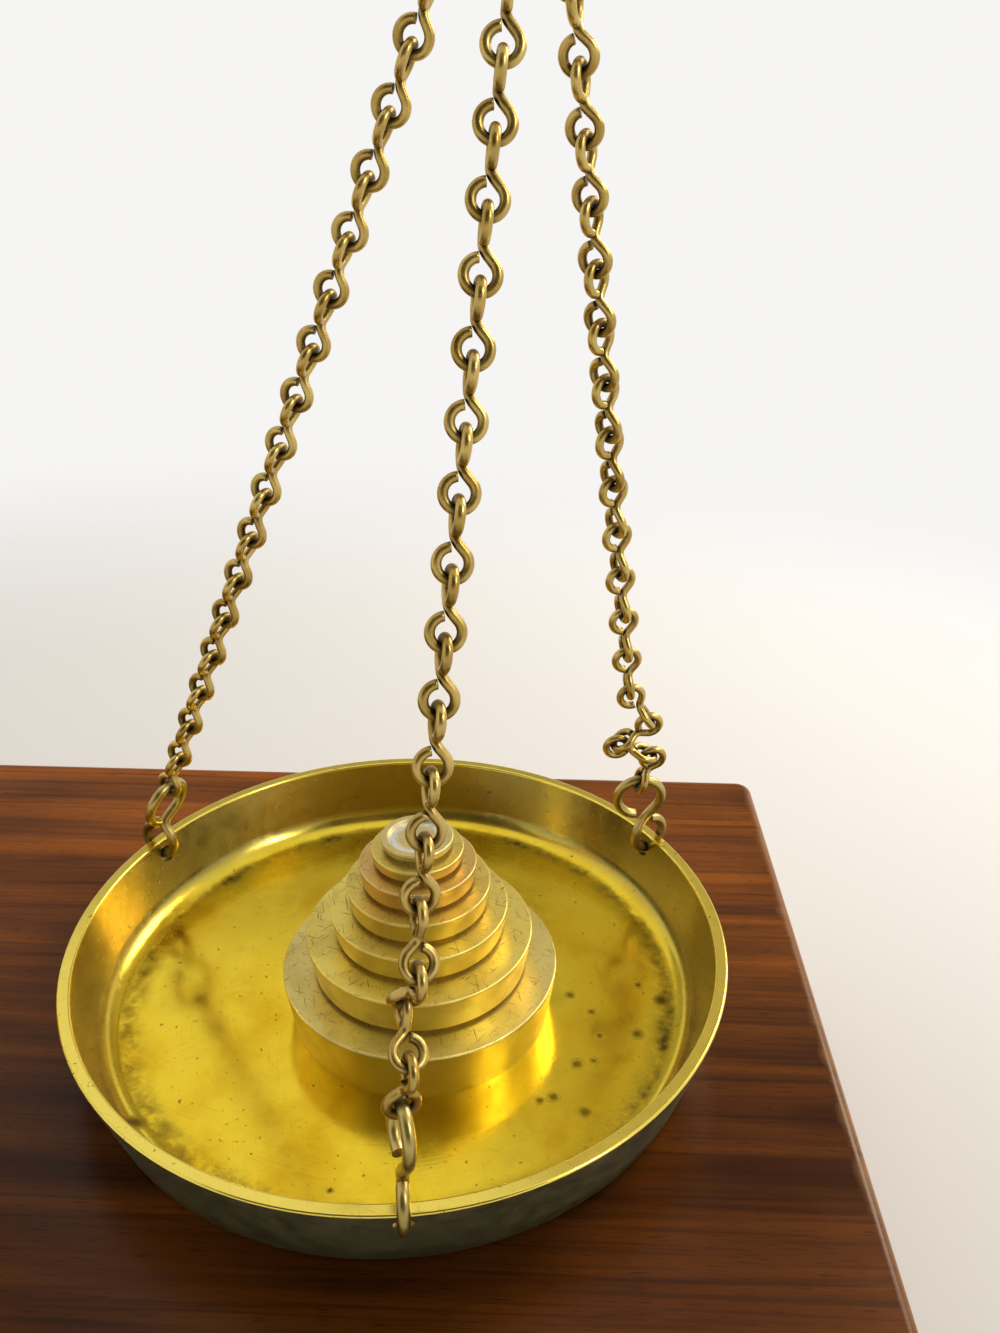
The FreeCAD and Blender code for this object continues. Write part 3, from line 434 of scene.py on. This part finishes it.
# Turned cast brass: paler and satin, with short dark scratches on the tops from years of stacking
weightLook = {
    "tints": ("#decc7c", "#ead46c", "#ead46c", "#e3cb68", "#d8b26c", "#dcc568", "#dccb8e"),
    "worn": "#c6ae58",
    "scratchAndShade": "#3d3012",
    "dishHighlight": "#e9e8de",
    "dishShares": (0.5, 0.62, 0.78, 0.84),
    "dishHighlightStrength": 0.9,
    "cloudSize": 9,
    "grainSize": 1.2,
    "wear": (0.4, 0.7, 0, 0.7),
    "scratchSize": (5.0, 0.35, 4.0),
    "scratchTurns": (20, 75, 130),
    "scratches": (0.68, 0.74),
    "level": (0.6, 0.9, 0, 0.7),
    # Reach and shares of the painted shade in the step under each weight
    "stepShadeReach": 1.2,
    "corners": (0.1, 0.5, 0.75, 0),
    "satin": (0.3, 0.7, 0.36, 0.5),
    "scratchDulls": 0.2,
    "linePitch": 0.5,
    "bump": 0.1,
    "bumpDepth": 0.05,
}


def turnedBrass(name, node, tint):
    material, tree, shader, coords = startMaterial(name)
    place = addNode(tree, "Mapping", {"Vector": coords, "Location": -panFoot(node)}).outputs[0]
    cloud = addNode(
        tree, "TexNoise", {"Vector": coords, "Scale": perMm(weightLook["cloudSize"]), "Detail": 5}
    ).outputs[0]
    grain = addNode(
        tree, "TexNoise", {"Vector": coords, "Scale": perMm(weightLook["grainSize"]), "Detail": 3}
    ).outputs[0]
    worn = addNode(tree, "MapRange", (cloud, *weightLook["wear"])).outputs[0]
    colour = addNode(
        tree, "Mix", {0: worn, 6: linear(tint), 7: linear(weightLook["worn"])}, data_type="RGBA"
    ).outputs[2]

    # Painted highlight: a pale, near-white ring on the top weight's shallow dish stands in for the bright
    # surroundings reflected there
    flat = addNode(tree, "VectorMath", {0: place, 1: (1, 1, 0)}, operation="MULTIPLY").outputs[0]
    radius = addNode(tree, "VectorMath", {0: flat}, operation="LENGTH").outputs["Value"]
    if node == "weight_7":
        low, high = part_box(node)
        start, inner, outer, end = (share * (high.x - low.x) / 2 for share in weightLook["dishShares"])
        within = addNode(tree, "MapRange", {0: radius, 1: start, 2: inner}).outputs[0]
        paintedHighlight = addNode(tree, "MapRange", (radius, outer, end, weightLook["dishHighlightStrength"], 0)).outputs[0]
        paintedHighlight = addNode(tree, "Math", {0: paintedHighlight, 1: within}, operation="MULTIPLY").outputs[0]
        colour = addNode(
            tree, "Mix", {0: paintedHighlight, 6: colour, 7: linear(weightLook["dishHighlight"])}, data_type="RGBA"
        ).outputs[2]

    # Scratches run three ways across the flat top
    marks = None
    scale = [perMm(size) for size in weightLook["scratchSize"]]
    for turn in weightLook["scratchTurns"]:
        lay = addNode(tree, "Mapping", {"Vector": coords, "Rotation": (0, 0, math.radians(turn))}).outputs[0]
        lay = addNode(tree, "VectorMath", {0: lay, 1: scale}, operation="MULTIPLY").outputs[0]
        streak = addNode(tree, "TexNoise", {"Vector": lay, "Scale": 1.0, "Detail": 1}).outputs[0]
        streak = addNode(tree, "MapRange", (streak, *weightLook["scratches"])).outputs[0]
        marks = addNode(tree, "Math", {0: marks or 0.0, 1: streak}, operation="MAXIMUM").outputs[0]
    facing = addNode(tree, "SeparateXYZ", {0: addNode(tree, "TexCoord").outputs["Normal"]}).outputs["Z"]
    level = addNode(tree, "MapRange", (facing, *weightLook["level"])).outputs[0]
    marks = addNode(tree, "Math", {0: marks, 1: level}, operation="MULTIPLY").outputs[0]
    colour = addNode(
        tree, "Mix", {0: marks, 6: colour, 7: linear(weightLook["scratchAndShade"])}, data_type="RGBA"
    ).outputs[2]

    # Painted shade, with some grime: the colour darkens towards the scratch colour where ambient occlusion
    # finds the step under each weight
    reach = weightLook["stepShadeReach"] * mm
    paintedShade = addNode(tree, "AmbientOcclusion", {"Distance": reach}, samples=8).outputs["AO"]
    paintedShade = addNode(tree, "MapRange", (paintedShade, *weightLook["corners"])).outputs[0]
    colour = addNode(
        tree, "Mix", {0: paintedShade, 6: colour, 7: linear(weightLook["scratchAndShade"])}, data_type="RGBA"
    ).outputs[2]
    tree.links.new(colour, shader.inputs["Base Color"])
    rough = addNode(tree, "MapRange", (cloud, *weightLook["satin"])).outputs[0]
    rough = addNode(
        tree, "Math", (marks, weightLook["scratchDulls"], rough), operation="MULTIPLY_ADD"
    ).outputs[0]
    tree.links.new(rough, shader.inputs["Roughness"])
    shader.inputs["Metallic"].default_value = 1.0
    lines = {"W": radius, "Scale": perMm(weightLook["linePitch"]), "Detail": 1}
    turning = addNode(tree, "TexNoise", lines, noise_dimensions="1D").outputs[0]
    relief = addNode(tree, "Math", {0: turning, 1: grain}).outputs[0]
    relief = addNode(tree, "Math", {0: relief, 1: marks}, operation="SUBTRACT").outputs[0]
    bump = addNode(
        tree, "Bump",
        {"Height": relief, "Strength": weightLook["bump"], "Distance": weightLook["bumpDepth"] * mm},
    ).outputs[0]
    tree.links.new(bump, shader.inputs["Normal"])
    return material


for number, tint in enumerate(weightLook["tints"], 1):
    dress(turnedBrass("weight%dTurnedBrass" % number, "weight_%d" % number, tint), "weight_%d" % number)
print("weights finished")


# Drawn brass wire: bright where it is rubbed, brown where polish never reaches
wireLook = {
    "patchSize": 7,
    "pitSize": 0.8,
    "tones": (0.35, 0.65),
    # Reach and shares of the painted shade and grime in the recesses
    "recessShadeReach": 2.5,
    "recesses": (0.4, 0.97, 0.92, 0),
    "pitSpan": (0.3, 0.7),
    "pitDulls": 0.12,
    "recessDulls": 0.3,
    "bumpDepth": 0.05,
}
# Colour where it is rubbed, where it is brown, and of the painted shade and grime in the recesses, least
# roughness, strength of the pitting
wireLooks = {
    "tarnishedChainWire": ("#cfb368", "#a98a44", "#261804", 0.26, 0.25),
    "rubbedHookWire": ("#c9b36c", "#a08c4c", "#2a1d08", 0.28, 0.25),
    "polishedPillarBrass": ("#dcba5c", "#d2ae50", "#4a350f", 0.16, 0.06),
}


def drawnBrass(name, rubbed, brown, shadeAndGrime, gloss, pitting):
    material, tree, shader, coords = startMaterial(name)
    patch = addNode(
        tree, "TexNoise", {"Vector": coords, "Scale": perMm(wireLook["patchSize"]), "Detail": 5}
    ).outputs[0]
    pit = addNode(
        tree, "TexNoise", {"Vector": coords, "Scale": perMm(wireLook["pitSize"]), "Detail": 3}
    ).outputs[0]
    tone = addNode(tree, "MapRange", (patch, *wireLook["tones"])).outputs[0]
    colour = addNode(tree, "Mix", {0: tone, 6: linear(rubbed), 7: linear(brown)}, data_type="RGBA").outputs[2]
    # Painted shade, with some grime: the colour darkens where ambient occlusion finds links, hooks and parts
    # close together
    reach = wireLook["recessShadeReach"] * mm
    paintedShade = addNode(tree, "AmbientOcclusion", {"Distance": reach}, samples=8).outputs["AO"]
    paintedShade = addNode(tree, "MapRange", (paintedShade, *wireLook["recesses"])).outputs[0]
    colour = addNode(tree, "Mix", {0: paintedShade, 6: colour, 7: linear(shadeAndGrime)}, data_type="RGBA").outputs[2]
    tree.links.new(colour, shader.inputs["Base Color"])
    dullest = gloss + wireLook["pitDulls"]
    rough = addNode(tree, "MapRange", (pit, *wireLook["pitSpan"], gloss, dullest)).outputs[0]
    rough = addNode(
        tree, "Math", (paintedShade, wireLook["recessDulls"], rough), operation="MULTIPLY_ADD"
    ).outputs[0]
    tree.links.new(rough, shader.inputs["Roughness"])
    shader.inputs["Metallic"].default_value = 1.0
    depth = wireLook["bumpDepth"] * mm
    bump = addNode(tree, "Bump", {"Height": pit, "Strength": pitting, "Distance": depth}).outputs[0]
    tree.links.new(bump, shader.inputs["Normal"])
    return material


chainBrass, hookBrass, pillarBrass = (drawnBrass(name, *look) for name, look in wireLooks.items())
chainNodes = [side + "_chain_" + place for side in ("left", "right") for place in ("outer", "inner", "front")]
dress(chainBrass, *chainNodes)
dress(hookBrass, "left_rim_hooks", "right_rim_hooks")
dress(
    pillarBrass, "pillar_flange", "flange_screws", "pillar_column", "fork_head", "beam", "beam_finial",
    "drawer_knobs", "left_stirrup", "right_stirrup", "left_hook", "right_hook", "index_screws",
)
print("chains, hooks and pillar finished")


# Ground steel: grey, with fine lines one way
steelLook = {
    "lineSize": (9, 9, 0.3),
    "greys": ((0.3, "#6f6f70"), (0.7, "#a9a9aa")),
    "grind": (0.3, 0.7, 0.22, 0.4),
}


def groundSteel():
    material, tree, shader, coords = startMaterial("groundSteel")
    scale = [perMm(size) for size in steelLook["lineSize"]]
    lay = addNode(tree, "VectorMath", {0: coords, 1: scale}, operation="MULTIPLY").outputs[0]
    lines = addNode(tree, "TexNoise", {"Vector": lay, "Scale": 1.0, "Detail": 3}).outputs[0]
    tone = addNode(tree, "ValToRGB", {0: lines}, steelLook["greys"]).outputs[0]
    tree.links.new(tone, shader.inputs["Base Color"])
    rough = addNode(tree, "MapRange", (lines, *steelLook["grind"])).outputs[0]
    tree.links.new(rough, shader.inputs["Roughness"])
    shader.inputs["Metallic"].default_value = 1.0
    return material


dress(
    groundSteel(), "box_screws", "pillar_washer", "pillar_nut", "beam_bearings", "center_knife", "end_knives",
    "pointer",
)
print("steel finished")


# Mahogany under old French polish: red-brown, dark pores along the grain, a clear gloss, worn tan edges
woodLook = {
    "browns": ((0.45, "#462007"), (0.72, "#6e3b0d"), (1.0, "#a4590f")),
    "pore": "#2a1405",
    "worn": "#b07c48",
    # How far the painted shade at the front and the painted light at the back shift the wood's tone
    "ramp": 0.12,
    "figureSize": (230, 13),
    "streakSize": (75, 1.7),
    "poreSize": (6, 0.45),
    "patchSize": 70,
    "patchShare": 0.45,
    "pores": (0.58, 0.7, 0, 0.6),
    "streaks": (0.5, 0.72, 0, 0.6),
    "edgeUneven": 9,
    "edgeStart": 4,
    "edgeEnd": 8,
    "polish": (0.3, 0.7, 0.2, 0.34),
    "wornDulls": 0.15,
    "polishIor": 1.5,
    "specular": 0.14,
    "bump": 0.15,
    "bumpDepth": 0.1,
}


# Wear is the share of bare wood at the edges, which lie at the ends of the two axes named
def mahogany(name, along, node, wear, edges="XY"):
    material, tree, shader, coords = startMaterial(name)

    def stretched(size):
        scale = [perMm(size[0]) if axis == along else perMm(size[1]) for axis in "XYZ"]
        return addNode(tree, "VectorMath", {0: coords, 1: scale}, operation="MULTIPLY").outputs[0]

    figure = addNode(
        tree, "TexNoise",
        {"Vector": stretched(woodLook["figureSize"]), "Scale": 1, "Detail": 5, "Distortion": 0.7},
    ).outputs[0]
    pores = addNode(
        tree, "TexNoise", {"Vector": stretched(woodLook["poreSize"]), "Scale": 1, "Detail": 2}
    ).outputs[0]
    patch = addNode(
        tree, "TexNoise", {"Vector": coords, "Scale": perMm(woodLook["patchSize"]), "Detail": 3}
    ).outputs[0]
    tone = addNode(
        tree, "Math", (patch, woodLook["patchShare"], figure), operation="MULTIPLY_ADD"
    ).outputs[0]

    # Painted shade and light: the tone is made darker towards the front and lighter towards the back, as the
    # light falls across the board
    low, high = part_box(node)
    across = addNode(tree, "SeparateXYZ", {0: coords}).outputs["Y"]
    limits = (across, low.y, high.y, -woodLook["ramp"], woodLook["ramp"])
    ramp = addNode(tree, "MapRange", limits).outputs[0]
    tone = addNode(tree, "Math", {0: tone, 1: ramp}).outputs[0]
    colour = addNode(tree, "ValToRGB", {0: tone}, woodLook["browns"]).outputs[0]
    streaks = addNode(
        tree, "TexNoise", {"Vector": stretched(woodLook["streakSize"]), "Scale": 1, "Detail": 3}
    ).outputs[0]
    pore = addNode(tree, "MapRange", (pores, *woodLook["pores"])).outputs[0]
    streak = addNode(tree, "MapRange", (streaks, *woodLook["streaks"])).outputs[0]
    pore = addNode(tree, "Math", {0: pore, 1: streak}, operation="MAXIMUM").outputs[0]
    colour = addNode(
        tree, "Mix", {0: pore, 6: colour, 7: linear(woodLook["pore"])}, data_type="RGBA"
    ).outputs[2]

    # Edges and corners are rubbed through to the bare wood
    middle = (low + high) / 2
    half = (high - low) / 2
    offset = addNode(tree, "VectorMath", {0: coords, 1: middle}, operation="SUBTRACT").outputs[0]
    offset = addNode(tree, "VectorMath", {0: offset}, operation="ABSOLUTE").outputs[0]
    depth = addNode(tree, "VectorMath", {0: half, 1: offset}, operation="SUBTRACT").outputs[0]
    sides = addNode(tree, "SeparateXYZ", {0: depth}).outputs
    edge = addNode(tree, "Math", {0: sides[edges[0]], 1: sides[edges[1]]}, operation="MINIMUM").outputs[0]
    ragged = (figure, woodLook["edgeUneven"] * mm, edge)
    edge = addNode(tree, "Math", ragged, operation="MULTIPLY_ADD").outputs[0]
    limits = (edge, woodLook["edgeStart"] * mm, woodLook["edgeEnd"] * mm, wear, 0)
    edge = addNode(tree, "MapRange", limits).outputs[0]
    colour = addNode(
        tree, "Mix", {0: edge, 6: colour, 7: linear(woodLook["worn"])}, data_type="RGBA"
    ).outputs[2]
    tree.links.new(colour, shader.inputs["Base Color"])
    rough = addNode(tree, "MapRange", (patch, *woodLook["polish"])).outputs[0]
    rough = addNode(
        tree, "Math", (edge, woodLook["wornDulls"], rough), operation="MULTIPLY_ADD"
    ).outputs[0]
    tree.links.new(rough, shader.inputs["Roughness"])
    shader.inputs["IOR"].default_value = woodLook["polishIor"]
    shader.inputs["Specular IOR Level"].default_value = woodLook["specular"]
    relief = addNode(tree, "Math", {0: figure, 1: pore}, operation="SUBTRACT").outputs[0]
    bump = addNode(
        tree, "Bump",
        {"Height": relief, "Strength": woodLook["bump"], "Distance": woodLook["bumpDepth"] * mm},
    ).outputs[0]
    tree.links.new(bump, shader.inputs["Normal"])
    return material


for node in ("top_board", "plinth_board"):
    dress(mahogany("mahogany_" + node, "X", node, 0.75), node)
for node in ("back_panel", "drawer_front"):
    dress(mahogany("mahogany_" + node, "X", node, 0.5, "XZ"), node)
dress(mahogany("mahogany_bun_feet", "X", "bun_feet", 0.0), "bun_feet")
for node in ("left_end", "right_end"):
    dress(mahogany("mahogany_" + node, "Y", node, 0.0), node)


# Planed pine: pale straw with brown growth lines
pineLook = {
    "straws": ((0.38, "#dcbf8e"), (0.66, "#b98f58")),
    "figureSize": (300, 7),
    "roughness": 0.6,
    "bump": 0.2,
    "bumpDepth": 0.1,
}


def planedPine(name, along):
    material, tree, shader, coords = startMaterial(name)
    scale = [perMm(pineLook["figureSize"][0 if axis == along else 1]) for axis in "XYZ"]
    lay = addNode(tree, "VectorMath", {0: coords, 1: scale}, operation="MULTIPLY").outputs[0]
    figure = addNode(tree, "TexNoise", {"Vector": lay, "Scale": 1, "Detail": 4, "Distortion": 0.5}).outputs[0]
    tone = addNode(tree, "ValToRGB", {0: figure}, pineLook["straws"]).outputs[0]
    tree.links.new(tone, shader.inputs["Base Color"])
    shader.inputs["Roughness"].default_value = pineLook["roughness"]
    bump = addNode(
        tree, "Bump",
        {"Height": figure, "Strength": pineLook["bump"], "Distance": pineLook["bumpDepth"] * mm},
    ).outputs[0]
    tree.links.new(bump, shader.inputs["Normal"])
    return material


dress(planedPine("pineAlongX", "X"), "drawer_back", "drawer_bottom")
dress(planedPine("pineAlongY", "Y"), "drawer_left_side", "drawer_right_side", "drawer_runners")


# Ivory enamel on metal: a glassy off-white with faint clouds
enamelLook = {"ivories": ((0.3, "#efe9d8"), (0.75, "#dfd5bb")), "cloudSize": 12, "roughness": 0.18}


def ivoryEnamel():
    material, tree, shader, coords = startMaterial("ivoryEnamel")
    cloud = addNode(
        tree, "TexNoise", {"Vector": coords, "Scale": perMm(enamelLook["cloudSize"]), "Detail": 4}
    ).outputs[0]
    tone = addNode(tree, "ValToRGB", {0: cloud}, enamelLook["ivories"]).outputs[0]
    tree.links.new(tone, shader.inputs["Base Color"])
    shader.inputs["Roughness"].default_value = enamelLook["roughness"]
    return material


dress(ivoryEnamel(), "index_plate")
print("base, drawer and index plate finished")


# Index lines: thin black strokes on the plate, one for every degree the pointer turns
tickLook = {
    "colour": "#1d1a17",
    "turns": range(-8, 9),
    "startRadius": 158.2,
    "length": 3.4,
    "longLength": 5.6,
    "longEvery": 4,
    "width": 0.45,
    "proud": 0.12,
    "sunk": 0.3,
    "roughness": 0.3,
}


def indexLines():
    swing = next(joint for joint in frame["joints"] if joint["name"] == "beam_swing")
    fulcrum = Vector(swing["pos_m"])
    fulcrum.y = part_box("index_plate")[0].y
    strokes = []
    bpy.ops.object.select_all(action="DESELECT")
    for turn in tickLook["turns"]:
        length = tickLook["length"] if turn % tickLook["longEvery"] else tickLook["longLength"]
        reach = (tickLook["startRadius"] + length / 2) * mm
        angle = math.radians(turn)
        depth = (tickLook["proud"] + tickLook["sunk"]) * mm
        middle = (tickLook["sunk"] - tickLook["proud"]) / 2 * mm
        place = fulcrum + Vector((math.sin(angle) * reach, middle, -math.cos(angle) * reach))
        bpy.ops.mesh.primitive_cube_add(size=1, location=place, rotation=(0, -angle, 0))
        bpy.context.object.scale = (tickLook["width"] * mm, depth, length * mm)
        strokes.append(bpy.context.object)
    for stroke in strokes:
        stroke.select_set(True)
    bpy.ops.object.join()
    bpy.ops.object.transform_apply(location=True, rotation=True, scale=True)
    lines = bpy.context.object
    lines.name = "indexLines"
    paint, tree, shader, coords = startMaterial("blackIndexEnamel")
    shader.inputs["Base Color"].default_value = linear(tickLook["colour"])
    shader.inputs["Roughness"].default_value = tickLook["roughness"]
    lines.data.materials.append(paint)
    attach(lines, "base")


indexLines()
print("index lines made")


# The right chains hang between the hook and the pan; each is a copy of its solid with its vertices merged and
# shaded smooth, and the solid is hidden
chainSetup = {"mergeDistance": 0.001, "smoothAngle": 40}


def bendingChain(place):
    node = nodes["right_chain_" + place]
    chain = bpy.data.objects.new("rightChain" + place.capitalize(), node.data.copy())
    scene.collection.objects.link(chain)
    bpy.ops.object.select_all(action="DESELECT")
    chain.select_set(True)
    bpy.context.view_layer.objects.active = chain
    bpy.ops.object.mode_set(mode="EDIT")
    bpy.ops.mesh.select_all(action="SELECT")
    bpy.ops.mesh.remove_doubles(threshold=chainSetup["mergeDistance"] * mm)
    bpy.ops.object.mode_set(mode="OBJECT")
    bpy.ops.object.shade_smooth_by_angle(angle=math.radians(chainSetup["smoothAngle"]))
    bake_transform(chain)
    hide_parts("right_chain_" + place)


for place in ("outer", "inner", "front"):
    bendingChain(place)
print("right chains made")
